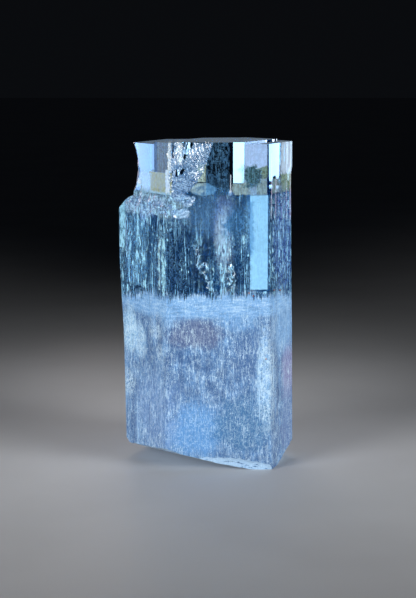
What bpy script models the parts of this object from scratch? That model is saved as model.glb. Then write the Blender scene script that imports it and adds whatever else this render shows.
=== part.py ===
# Aquamarine crystal: one hexagonal beryl prism that stands on its broken base.
# Its faces carry growth steps, its crown is narrower behind a broken ledge, and
# conchoidal chips take its front left edge, its left edge and its base.
# Run with: blender --background --python part.py

import math
import random

import bmesh
import bpy
from mathutils import Matrix, Vector, noise

MM = 0.001

# Driving dimensions, in millimetres. The axis is the line x = 0, y = 0, and the
# resting facet of the base is z = 0.
TOP_HEIGHT = 59.3
TOP_SLOPE_X = 0.0057
TOP_SLOPE_Y = -0.0123
STOCK_HEIGHT = 61.0

# The six prism faces, anticlockwise from the front, and the front's direction.
FACES = ("front", "right_front", "right_back", "back", "left_back", "left_front")
FRONT_AZIMUTH = -85.0
FACE_ANGLE = 60.0

# Height of a section, each face's distance from the axis there, and how much of
# the growth steps' depth is left. The steps die out below the crown.
SECTIONS = (
    (0.0, (11.35, 15.02, 12.80, 10.65, 13.03, 13.05), 1.0),
    (24.0, (11.35, 14.73, 12.55, 10.63, 13.85, 12.82), 1.0),
    (42.0, (11.35, 14.50, 12.15, 10.60, 15.55, 12.63), 0.9),
    (53.0, (11.35, 14.37, 12.04, 10.60, 15.30, 12.53), 0.02),
    (54.5, (11.35, 14.36, 12.52, 10.60, 15.30, 12.52), 0.02),
    (STOCK_HEIGHT, (11.35, 14.30, 12.60, 10.60, 15.30, 12.46), 0.02),
)

# Growth steps: each strip of a face starts at a share of its width and lies an
# inset below the face. A face starts and ends flush, so its corners stay put.
STEP_SLANT = 0.011
GROWTH_STRIPS = {
    "front": ((0.0, 0.0), (0.07, 0.06), (0.16, 0.02), (0.41, 0.10), (0.58, 0.05), (0.90, 0.0)),
    "right_front": ((0.0, 0.0), (0.13, 0.08), (0.34, 0.16), (0.45, 0.06), (0.83, 0.0)),
    "right_back": ((0.0, 0.0), (0.22, 0.13), (0.36, 0.04), (0.71, 0.18), (0.88, 0.0)),
    "back": ((0.0, 0.0), (0.09, 0.08), (0.31, 0.22), (0.66, 0.09), (0.79, 0.0)),
    "left_back": ((0.0, 0.0), (0.19, 0.15), (0.48, 0.05), (0.86, 0.0)),
    "left_front": ((0.0, 0.0), (0.17, 0.07), (0.29, 0.16), (0.63, 0.05), (0.89, 0.0)),
}

# A narrow facet trims the left edge where the prism is widest.
EDGE_FACET_AZIMUTH = 190.0
EDGE_FACET_DISTANCE = 15.72

# The crown: how far from the axis its two left faces are, and the ledge below.
CROWN_LEFT_BACK = 11.17
CROWN_LEFT_FRONT = 12.08
LEDGE_HEIGHT = 49.4
LEDGE_FALL = 0.05
LEDGE_BEND = 0.15
LEDGE_REACH = 9.0
LEDGE_CLEARANCE = 14.0
FRONT_LEDGE_HEIGHT = 49.9
FRONT_LEDGE_FALL = 5.0
HACKLE = 0.32
HACKLE_PITCH = 1.3
FRONT_HACKLE_GAIN = 2.2

# Shallow scoops that overlap into a hackly band below the ledge, round the
# front left edge.
SCOOP_COUNT = 34
SCOOP_SEED = 11
SCOOP_RADIUS = (2.4, 5.2)
SCOOP_DEPTH = (0.10, 0.36)
SCOOP_HEIGHTS = (47.0, 50.3)
SCOOP_FRONT_END = -3.4
SCOOP_LUMPS = 0.07

# Terraces: the top face is lower past these two growth lines.
TERRACE_DROP = 0.28
TERRACES = ((155.0, 5.2), (-25.0, 10.4))
TERRACE_CUTTER = (40.0, 16.0, 4.0)

# A narrow vertical facet in the crown, beside the back right edge: where it
# starts on the back face, its direction, width and lowest point.
BACK_FACET_START = (4.2, 11.01)
BACK_FACET_AZIMUTH = 75.0
BACK_FACET_WIDTH = 2.18
BACK_FACET_FOOT = 51.2

# The break under the front left of the base: its line on the ground, and its
# rise away from that line.
BREAK_LINE = ((8.3, -9.9), (-9.2, 5.0))
BREAK_RISE = 0.25
BREAK_BEND = 0.0105
BREAK_REACH = 20.0
BREAK_STRUCK = (-9.0, 12.0)
RIPPLE = 0.09
RIPPLE_PITCH = 1.9
RIPPLE_SWAY = 0.8

# The break at the base's right corner.
CORNER_LINE = ((12.9, -10.5), (13.6, 8.0))
CORNER_SLOPE = 49.0
CORNER_STRUCK = (8.0, -6.0)

# Rippled ellipsoid chips: centre, half axes and turns in degrees about X, Y, Z,
# then the point that the blow struck.
CHIPS = {
    "front_edge_chip": {
        "centre": (-2.75, -14.85, 60.4), "half_axes": (5.7, 5.0, 14.3), "turn": (0, 14.5, 5),
        "struck": (-6.0, -11.9, 59.6)},
    "left_edge_notch": {
        "centre": (-21.35, -3.0, 54.6), "half_axes": (9.2, 9.2, 9.6), "turn": (0, 0, 0),
        "struck": (-13.0, -2.6, 57.5)},
    "left_base_chip": {
        "centre": (-17.3, -2.2, 1.4), "half_axes": (3.4, 4.6, 3.2), "turn": (0, 12, 0),
        "struck": (-15.0, -1.5, 4.0)},
    "front_base_chip": {
        "centre": (5.6, -12.35, 0.55), "half_axes": (11.5, 2.1, 2.5), "turn": (0, 8.5, 5),
        "struck": (11.5, -10.6, 0.4)},
    "back_base_chip": {
        "centre": (6.2, 15.0, -0.9), "half_axes": (7.5, 5.0, 5.2), "turn": (0, 0, -18),
        "struck": (7.0, 11.0, 1.0)},
    "back_edge_chip": {
        "centre": (-14.3, 13.6, 31.0), "half_axes": (5.2, 4.6, 7.4), "turn": (0, -6, 12),
        "struck": (-11.2, 9.4, 34.0)},
}
CHIP_DETAIL = 5

BODY_COLOUR = (0.55, 0.76, 0.90, 1.0)


def clear_scene():
    for old in list(bpy.data.objects):
        bpy.data.objects.remove(old, do_unlink=True)


def new_collection(name):
    collection = bpy.data.collections.new(name)
    bpy.context.scene.collection.children.link(collection)
    return collection


def object_from(bm, name, collection):
    bmesh.ops.recalc_face_normals(bm, faces=bm.faces[:])
    mesh = bpy.data.meshes.new(name)
    bm.to_mesh(mesh)
    bm.free()
    made = bpy.data.objects.new(name, mesh)
    collection.objects.link(made)
    return made


def direction(azimuth):
    angle = math.radians(azimuth)
    return Vector((math.cos(angle), math.sin(angle)))


def face_azimuth(index):
    return FRONT_AZIMUTH + FACE_ANGLE * index


def corner(first, first_distance, second, second_distance):
    """Where two prism faces meet in plan."""
    a = direction(first)
    b = direction(second)
    cross = a.x * b.y - a.y * b.x
    x = (first_distance * b.y - second_distance * a.y) / cross
    y = (second_distance * a.x - first_distance * b.x) / cross
    return Vector((x, y))


def outline(distances, step_share):
    """Plan of the prism with its growth steps, anticlockwise from the front."""
    points = []
    for index, name in enumerate(FACES):
        before = (index - 1) % len(FACES)
        after = (index + 1) % len(FACES)
        here = face_azimuth(index)
        start = corner(face_azimuth(before), distances[before], here, distances[index])
        end = corner(here, distances[index], face_azimuth(after), distances[after])
        inward = -direction(here)
        strips = GROWTH_STRIPS[name]
        for (share, inset), (_, last_inset) in zip(strips, strips[:1] + strips):
            if share == 0.0:
                points.append(start)
                continue
            points.append(start.lerp(end, share - STEP_SLANT) + inward * last_inset * step_share)
            points.append(start.lerp(end, share + STEP_SLANT) + inward * inset * step_share)
    return points


def prism():
    """The uncut crystal, raised section by section from the plan of its base."""
    bm = bmesh.new()
    plans = [outline(distances, step_share) for _, distances, step_share in SECTIONS]
    made = bmesh.ops.create_circle(bm, cap_ends=True, segments=len(plans[0]), radius=1.0)
    ring = made["verts"]
    for vertex, point in zip(ring, plans[0]):
        vertex.co = (point.x, point.y, SECTIONS[0][0])
    base_edges = [edge for edge in bm.edges if edge.is_boundary or len(edge.link_faces) == 1]
    for (height, _, _), plan in zip(SECTIONS[1:], plans[1:]):
        raised = bmesh.ops.extrude_edge_only(bm, edges=base_edges)["geom"]
        base_edges = [item for item in raised if isinstance(item, bmesh.types.BMEdge)]
        upper = {item for item in raised if isinstance(item, bmesh.types.BMVert)}
        next_ring = []
        for vertex, point in zip(ring, plan):
            above = next(edge.other_vert(vertex) for edge in vertex.link_edges
                         if edge.other_vert(vertex) in upper)
            above.co = (point.x, point.y, height)
            next_ring.append(above)
        ring = next_ring
    bmesh.ops.contextual_create(bm, geom=base_edges)
    trim(bm, Vector((*direction(EDGE_FACET_AZIMUTH) * EDGE_FACET_DISTANCE, 0)),
         Vector((*direction(EDGE_FACET_AZIMUTH), 0)))
    trim(bm, Vector((0, 0, TOP_HEIGHT)), Vector((-TOP_SLOPE_X, -TOP_SLOPE_Y, 1)))
    bmesh.ops.scale(bm, vec=(MM, MM, MM), verts=bm.verts[:])
    return bm


def trim(bm, point, outward):
    """Cut off what lies beyond a plane and close the cut."""
    everything = bm.verts[:] + bm.edges[:] + bm.faces[:]
    cut = bmesh.ops.bisect_plane(bm, geom=everything, plane_co=point, plane_no=outward, clear_outer=True)
    rim = [item for item in cut["geom_cut"] if isinstance(item, bmesh.types.BMEdge)]
    bmesh.ops.contextual_create(bm, geom=rim)


def cut_with(target, cutter):
    cutter.hide_render = True
    cutter.display_type = "WIRE"
    modifier = target.modifiers.new(cutter.name, "BOOLEAN")
    modifier.operation = "DIFFERENCE"
    modifier.solver = "EXACT"
    modifier.object = cutter


def relief_block(name, size, cells, surface, back, place, collection):
    """A closed block: one face follows surface(u, v), the opposite one is flat at back."""
    bm = bmesh.new()
    bmesh.ops.create_grid(bm, x_segments=cells[0], y_segments=cells[1], size=0.5)
    for vertex in bm.verts:
        u = vertex.co.x * size[0]
        v = vertex.co.y * size[1]
        vertex.co = (u, v, surface(u, v))
    raised = bmesh.ops.extrude_face_region(bm, geom=bm.faces[:])["geom"]
    for item in raised:
        if isinstance(item, bmesh.types.BMVert):
            item.co.z = back
    bmesh.ops.scale(bm, vec=(MM, MM, MM), verts=bm.verts[:])
    block = object_from(bm, name, collection)
    block.matrix_world = place
    return block


def plan_matrix(azimuth, distance, height):
    """A frame whose Y points outwards along an azimuth, and X along the prism face."""
    out = direction(azimuth)
    along = Vector((-out.y, out.x))
    place = Matrix(((-along.x, out.x, 0), (-along.y, out.y, 0), (0, 0, 1))).to_4x4()
    place.translation = Vector((out.x * distance, out.y * distance, height)) * MM
    return place


def hackle(u, v):
    """Splintery relief of a rough break: ridges that run up and down the slope."""
    ridges = abs(noise.noise((u / HACKLE_PITCH, v / (2.5 * HACKLE_PITCH), 0.3))) * 2.0 - 0.5
    chips = noise.noise((u / 0.6, v / 0.8, 5.1)) * 0.5
    return HACKLE * (ridges + chips)


def ledge_cutters(collection):
    """Two blocks that clear the left of the crown down to the broken ledge."""
    half = LEDGE_REACH / 2.0

    def side_ledge(u, v):
        out = v + half
        return -LEDGE_FALL * out - LEDGE_BEND * out * out + hackle(u, v)

    def front_ledge(u, v):
        return -FRONT_LEDGE_FALL * (v + half) + FRONT_HACKLE_GAIN * hackle(u * 0.8, v)

    side = plan_matrix(face_azimuth(4), CROWN_LEFT_BACK + half, LEDGE_HEIGHT)
    front = plan_matrix(face_azimuth(5), CROWN_LEFT_FRONT + half, FRONT_LEDGE_HEIGHT)
    yield relief_block("side_ledge_cutter", (34, LEDGE_REACH), (44, 12), side_ledge,
                       LEDGE_CLEARANCE, side, collection)
    yield relief_block("front_ledge_cutter", (32, LEDGE_REACH), (40, 14), front_ledge,
                       LEDGE_CLEARANCE, front, collection)


def terrace_cutters(collection):
    """Slabs that lower the top face past each growth line."""
    for number, (azimuth, distance) in enumerate(TERRACES):
        out = direction(azimuth) * distance
        lift = TOP_HEIGHT - TERRACE_DROP + TOP_SLOPE_X * out.x + TOP_SLOPE_Y * out.y
        bm = bmesh.new()
        bmesh.ops.create_cube(bm, size=1.0)
        bmesh.ops.translate(bm, vec=(0, 0.5, 0.5), verts=bm.verts[:])
        bmesh.ops.scale(bm, vec=Vector(TERRACE_CUTTER) * MM, verts=bm.verts[:])
        slab = object_from(bm, "terrace_cutter_%d" % number, collection)
        slab.matrix_world = plan_matrix(azimuth, distance, lift)
        yield slab


def back_facet_cutter(collection):
    """A slab that opens the narrow facet in the back of the crown."""
    out = direction(BACK_FACET_AZIMUTH)
    start = Vector(BACK_FACET_START)
    middle = start + Vector((out.y, -out.x)) * BACK_FACET_WIDTH / 2.0
    bm = bmesh.new()
    bmesh.ops.create_cube(bm, size=1.0)
    bmesh.ops.translate(bm, vec=(0, 0.5, 0.5), verts=bm.verts[:])
    bmesh.ops.scale(bm, vec=(BACK_FACET_WIDTH * MM, 4 * MM, 12 * MM), verts=bm.verts[:])
    slab = object_from(bm, "back_facet_cutter", collection)
    slab.matrix_world = plan_matrix(BACK_FACET_AZIMUTH, 0.0, BACK_FACET_FOOT)
    slab.matrix_world.translation = Vector((*middle, BACK_FACET_FOOT)) * MM
    return slab


def line_frame(line):
    """A frame on a ground line: X runs along it, Y away from the crystal's axis."""
    start = Vector(line[0])
    end = Vector(line[1])
    along = (end - start).normalized()
    away = Vector((along.y, -along.x))
    if away.dot(start) < 0:
        away = -away
    middle = (start + end) / 2.0
    place = Matrix(((along.x, away.x, 0), (along.y, away.y, 0), (0, 0, 1))).to_4x4()
    place.translation = Vector((middle.x, middle.y, 0)) * MM
    return place


def shell_wave(distance, spot):
    """Height of a shell-like fracture's ripple this far from where the blow struck."""
    sway = RIPPLE_SWAY * noise.noise(spot / 4.0)
    strength = 0.75 + 0.5 * noise.noise(spot / 2.3)
    return RIPPLE * strength * math.sin((distance + sway) * 2.0 * math.pi / RIPPLE_PITCH)


def ripple(u, v, struck):
    return shell_wave(math.hypot(u - struck[0], v - struck[1]), Vector((u, v, 0.0)))


def base_cutters(collection):
    """The rising break under the front left, and the steep one at the right corner."""
    margin = 1.0
    shift = BREAK_REACH / 2.0 - margin

    def rising_break(u, v):
        out = v + shift
        curve = BREAK_RISE * out + BREAK_BEND * out * abs(out)
        fade = min(1.0, max(0.0, out / 2.0))
        return curve + fade * ripple(u, v, BREAK_STRUCK)

    def corner_break(u, v):
        return ripple(u, v, CORNER_STRUCK)

    front = line_frame(BREAK_LINE) @ Matrix.Translation((0, shift * MM, 0))
    yield relief_block("base_break_cutter", (44, BREAK_REACH), (60, 34), rising_break, -6.0,
                       front, collection)
    tilt = Matrix.Rotation(math.radians(CORNER_SLOPE), 4, "X")
    right = line_frame(CORNER_LINE) @ tilt
    yield relief_block("corner_break_cutter", (34, 12), (40, 14), corner_break, -9.0,
                       right, collection)


def chip_cutter(name, chip, collection):
    """A rippled ellipsoid whose skin becomes a shell-like fracture."""
    bm = bmesh.new()
    bmesh.ops.create_icosphere(bm, subdivisions=CHIP_DETAIL, radius=1.0)
    turn = Matrix.Identity(3)
    for angle, axis in zip(chip["turn"], "XYZ"):
        turn = Matrix.Rotation(math.radians(angle), 3, axis) @ turn
    centre = Vector(chip["centre"])
    struck = Vector(chip["struck"])
    for vertex in bm.verts:
        outward = vertex.co.normalized()
        spot = centre + turn @ Vector(a * b for a, b in zip(outward, chip["half_axes"]))
        roughness = RIPPLE * noise.noise(spot / 1.1)
        spot += (turn @ outward) * (shell_wave((spot - struck).length, spot) + roughness)
        vertex.co = spot * MM
    return object_from(bm, name, collection)


def scoop_cutters(collection):
    """Small scoops in the two front left faces, along the foot of the crown."""
    chance = random.Random(SCOOP_SEED)
    distances = SECTIONS[3][1]
    left = corner(face_azimuth(4), distances[4], face_azimuth(5), distances[5])
    edge = corner(face_azimuth(5), distances[5], face_azimuth(0), distances[0])
    turn_share = (edge - left).length
    front_length = (SCOOP_FRONT_END - edge.x) / math.cos(math.radians(FRONT_AZIMUTH + 90.0))
    for number in range(SCOOP_COUNT):
        along = (number + chance.uniform(0.1, 0.9)) / SCOOP_COUNT * (turn_share + front_length)
        if along < turn_share:
            foot = left.lerp(edge, along / turn_share)
            out = direction(face_azimuth(5))
        else:
            foot = edge + direction(FRONT_AZIMUTH + 90.0) * (along - turn_share)
            out = direction(face_azimuth(0))
        radius = chance.uniform(*SCOOP_RADIUS)
        bite = chance.uniform(*SCOOP_DEPTH)
        spot = foot + out * (radius - bite)
        place = Vector((spot.x, spot.y, chance.uniform(*SCOOP_HEIGHTS)))
        bm = bmesh.new()
        bmesh.ops.create_icosphere(bm, subdivisions=4, radius=radius)
        squeeze = chance.uniform(0.35, 0.75)
        for vertex in bm.verts:
            lumps = 1.0 + SCOOP_LUMPS * noise.noise(vertex.co + place)
            point = place + vertex.co * lumps
            point.z = place.z + (point.z - place.z) * squeeze
            vertex.co = point * MM
        yield object_from(bm, "ledge_scoop_cutter_%02d" % number, collection)


def crystal_material():
    material = bpy.data.materials.new("pale_blue_beryl")
    material.use_nodes = True
    shader = material.node_tree.nodes["Principled BSDF"]
    shader.inputs["Base Color"].default_value = BODY_COLOUR
    shader.inputs["Roughness"].default_value = 0.12
    shader.inputs["Metallic"].default_value = 0.0
    shader.inputs["IOR"].default_value = 1.577
    return material


def centre_on_base(crystal, cutters):
    """Move the crystal and its cutters so that the middle of its footprint is the origin."""
    view = bpy.context.evaluated_depsgraph_get()
    solid = crystal.evaluated_get(view).to_mesh()
    xs = [vertex.co.x for vertex in solid.vertices]
    ys = [vertex.co.y for vertex in solid.vertices]
    zs = [vertex.co.z for vertex in solid.vertices]
    shift = Vector((-(min(xs) + max(xs)) / 2.0, -(min(ys) + max(ys)) / 2.0, -min(zs)))
    for thing in [crystal] + cutters:
        thing.matrix_world = Matrix.Translation(shift) @ thing.matrix_world
    print("moved by (mm):", [round(value / MM, 3) for value in shift])


def main():
    clear_scene()
    crystals = new_collection("aquamarine_crystal")
    cutting = new_collection("cutters")
    crystal = object_from(prism(), "aquamarine_crystal", crystals)
    crystal.data.materials.append(crystal_material())
    cutters = list(ledge_cutters(cutting))
    cutters += list(terrace_cutters(cutting))
    cutters.append(back_facet_cutter(cutting))
    cutters += list(base_cutters(cutting))
    cutters += [chip_cutter(name, chip, cutting) for name, chip in CHIPS.items()]
    cutters += list(scoop_cutters(cutting))
    for cutter in cutters:
        cut_with(crystal, cutter)
    centre_on_base(crystal, cutters)


main()
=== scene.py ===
import math
import random
from types import SimpleNamespace

import bmesh
import bpy
from mathutils import Euler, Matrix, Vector


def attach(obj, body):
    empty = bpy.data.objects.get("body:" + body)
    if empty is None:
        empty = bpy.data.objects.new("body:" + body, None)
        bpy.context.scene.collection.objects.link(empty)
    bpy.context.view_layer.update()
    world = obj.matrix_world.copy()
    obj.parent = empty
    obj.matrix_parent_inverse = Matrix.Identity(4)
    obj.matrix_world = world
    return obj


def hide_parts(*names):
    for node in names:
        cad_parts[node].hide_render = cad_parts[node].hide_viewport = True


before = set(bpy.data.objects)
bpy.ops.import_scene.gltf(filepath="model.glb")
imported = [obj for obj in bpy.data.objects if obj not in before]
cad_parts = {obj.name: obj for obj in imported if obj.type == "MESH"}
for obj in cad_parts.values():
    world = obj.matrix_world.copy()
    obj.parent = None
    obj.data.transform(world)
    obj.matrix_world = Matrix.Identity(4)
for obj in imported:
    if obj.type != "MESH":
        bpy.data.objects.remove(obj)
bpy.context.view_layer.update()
mm = 0.001
print("frame loaded")

# settings are in millimetres and degrees unless a note says otherwise
cameraSettings = {
    "place": (0.33, -256.66, 72.64),
    "tiltDown": 9.45,
    "lens": 84.28,
    "sensor": 36.0,
    "clipStart": 5.0,
}


def makeCamera(settings):
    data = bpy.data.cameras.new("studioCamera")
    data.sensor_width = settings["sensor"]
    data.lens = settings["lens"]
    data.clip_start = settings["clipStart"] * mm
    camera = bpy.data.objects.new("studioCamera", data)
    camera.location = Vector(settings["place"]) * mm
    camera.rotation_euler = Euler((math.radians(90 - settings["tiltDown"]), 0, 0))
    bpy.context.scene.collection.objects.link(camera)
    bpy.context.scene.camera = camera
    print("camera placed")


makeCamera(cameraSettings)


class Wire:
    # a shader value that can be written in sums
    def __init__(self, graph, socket):
        self.graph = graph
        self.socket = socket

    def maths(self, operation, first, second):
        return self.graph.node("Math", {"operation": operation}, {0: first, 1: second})

    def __add__(self, other):
        return self.maths("ADD", self, other)

    def __sub__(self, other):
        return self.maths("SUBTRACT", self, other)

    def __rsub__(self, other):
        return self.maths("SUBTRACT", other, self)

    def __mul__(self, other):
        return self.maths("MULTIPLY", self, other)

    __radd__ = __add__
    __rmul__ = __mul__

    def most(self, other):
        return self.maths("MAXIMUM", self, other)

    def least(self, other):
        return self.maths("MINIMUM", self, other)

    def ramp(self, start, end):
        # 0 before start, 1 past end, smooth between; start may be the larger
        return self.graph.node(
            "MapRange", {"interpolation_type": "SMOOTHSTEP"},
            {"Value": self, "From Min": start, "From Max": end})

    def within(self, span, edge):
        # 1 inside a span, with edges this soft
        low, high = span
        return self.ramp(low - edge, low + edge) * self.ramp(high + edge, high - edge)


def rgb(*parts):
    return (*parts, 1.0)


class Graph:
    # one material and the nodes in it
    def __init__(self, name):
        self.material = bpy.data.materials.new(name)
        self.material.use_nodes = True
        self.tree = self.material.node_tree
        self.tree.nodes.clear()
        self.place = self.node("TexCoord", {}, {}, "Object")
        self.side, self.across, self.height = [
            self.node("SeparateXYZ", {}, {0: self.place}, axis) * (1 / mm) for axis in "XYZ"]

    def node(self, kind, settings, inputs, output=0):
        made = self.tree.nodes.new("ShaderNode" + kind)
        for name, value in settings.items():
            setattr(made, name, value)
        for name, value in inputs.items():
            if isinstance(value, Wire):
                self.tree.links.new(value.socket, made.inputs[name])
            else:
                made.inputs[name].default_value = value
        return Wire(self, made.outputs[output])

    def blend(self, first, second, factor):
        # two colours, each a wire or three parts
        first, second = [one if isinstance(one, Wire) else rgb(*one) for one in (first, second)]
        return self.node("Mix", {"data_type": "RGBA"}, {0: factor, 6: first, 7: second}, 2)

    def grain(self, size, detail=2.0, rough=0.5, shift=0.0):
        # noise whose lumps measure size millimetres along X, Y and Z
        scale = Vector([1 / (mm * part) for part in size])
        spread = self.node("VectorMath", {"operation": "MULTIPLY_ADD"},
                           {0: self.place, 1: scale, 2: (shift, shift, shift)})
        return self.node("TexNoise", {}, {"Vector": spread, "Scale": 1.0, "Detail": detail,
                                          "Roughness": rough})

    def lines(self, size, width, shift):
        # thin winding lines, like the contours of a map
        level = self.grain(size, 2.0, 0.6, shift) - 0.5
        away = self.node("Math", {"operation": "ABSOLUTE"}, {0: level})
        return away.ramp(width, width * 0.2)

    def spot(self, centre, radii, wobble, edge=0.35):
        # 1 inside a soft ellipsoid, 0 outside it; wobble roughens its rim
        scale = Vector([1 / (mm * part) for part in radii])
        offset = Vector([-a / b for a, b in zip(centre, radii)])
        local = self.node("VectorMath", {"operation": "MULTIPLY_ADD"},
                          {0: self.place, 1: scale, 2: offset})
        reach = self.node("VectorMath", {"operation": "LENGTH"}, {0: local}, "Value")
        return (reach + wobble).ramp(1.0 + edge, 1.0 - edge)

    def rings(self, centre, pitch, sway):
        # rings round a point, this many millimetres apart
        away = self.node("VectorMath", {"operation": "DISTANCE"},
                         {0: self.place, 1: Vector(centre) * mm}, "Value")
        turns = (away * (1 / (mm * pitch)) + sway) * (2 * math.pi)
        return self.node("Math", {"operation": "SINE"}, {0: turns}) * 0.5 + 0.5

    def shine(self, settings):
        # a Principled shader
        return self.node("BsdfPrincipled", {}, settings)

    def finish(self, surface, volume=None):
        end = self.tree.nodes.new("ShaderNodeOutputMaterial")
        self.tree.links.new(surface.socket, end.inputs["Surface"])
        if volume:
            self.tree.links.new(volume.socket, end.inputs["Volume"])
        return self.material


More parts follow.
